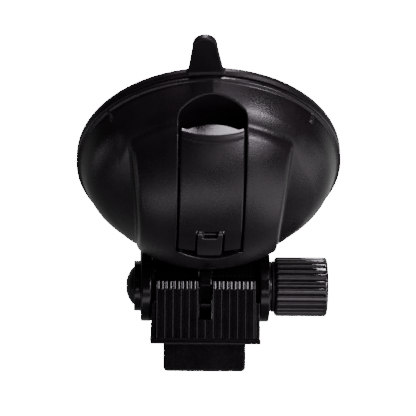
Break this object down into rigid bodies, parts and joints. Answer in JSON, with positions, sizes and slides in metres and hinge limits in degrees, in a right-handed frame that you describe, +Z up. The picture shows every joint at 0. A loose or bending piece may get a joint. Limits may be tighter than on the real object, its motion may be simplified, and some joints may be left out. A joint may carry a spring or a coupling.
{
  "type": "windscreen suction mount for a dash camera",
  "caption": "Domed suction cup with a flush lock lever, pull tab and a tilting ribbed shoe bracket on a bolt with a ridged thumb knob.",
  "frame": {"origin": "centre of the suction face, on the glass, where the cup's axis meets it", "axes": "in-use pose: +X to the right, +Y from the cabin towards the glass, +Z up; the cup's axis leans 38 degrees out of the YZ diagonal, in the YZ plane"},
  "size_m": [0.07, 0.0736, 0.0882],
  "materials": {
    "soft_rubber": "smooth soft black",
    "spark_textured_plastic": "fine spark-eroded satin black",
    "moulded_plastic": "moulded satin black",
    "glossy_plastic": "semi-gloss black",
    "acetal": "natural acetal",
    "washer_rubber": "matt black",
    "black_steel": "black oxide",
    "zinc_steel": "zinc plated",
    "spring_steel": "drawn wire",
    "brass": "turned"
  },
  "bodies": {
    "cup": {"suction_pad": "soft_rubber", "dome_cover": "spark_textured_plastic", "base_frame": "moulded_plastic", "guide_bush": "acetal", "cover_screws": "zinc_steel", "cam_plates": "zinc_steel", "tilt_bolt": "black_steel", "friction_washer_left": "washer_rubber", "friction_washer_right": "washer_rubber"},
    "stem": {"pull_stem": "glossy_plastic", "anchor_disc": "zinc_steel", "spring_washer": "zinc_steel", "stem_spring": "spring_steel", "lever_pin": "spring_steel"},
    "lever": {"cam_lever": "spark_textured_plastic"},
    "bracket": {"tilt_bracket": "moulded_plastic", "knuckle_bush_left": "acetal", "knuckle_bush_right": "acetal", "shoe_plate": "moulded_plastic", "shoe_screws": "zinc_steel"},
    "knob_carrier": {"knob_washer": "black_steel"},
    "knob": {"thumb_knob": "glossy_plastic", "knob_insert": "brass"}
  },
  "joints": [
    {"name": "lever_lock", "type": "hinge", "parent": "stem", "child": "lever", "pos_m": [0, -0.01322, -0.01936], "axis": [1, 0, 0], "range_deg": [0, 90]},
    {"name": "stem_pull", "type": "slide", "parent": "cup", "child": "stem", "axis": [0, 0.6157, 0.788], "range_m": [0, 0.0024], "deforming": ["stem_spring", "suction_pad"]},
    {"name": "tilt", "type": "hinge", "parent": "cup", "child": "bracket", "pos_m": [0, 0.02079, -0.03528], "axis": [1, 0, 0], "range_deg": [-18, 70]},
    {"name": "knob_turn", "type": "hinge", "parent": "knob_carrier", "child": "knob", "pos_m": [0.019, 0.02079, -0.03528], "axis": [1, 0, 0], "range_deg": [0, 720]},
    {"name": "knob_travel", "type": "slide", "parent": "cup", "child": "knob_carrier", "axis": [1, 0, 0], "range_m": [0, 0.0016]}
  ],
  "couplings": [
    {"joint": "lever_lock", "follows": "stem_pull", "rad_per_m": 654.5},
    {"joint": "knob_turn", "follows": "knob_travel", "rad_per_m": 7854}
  ]
}
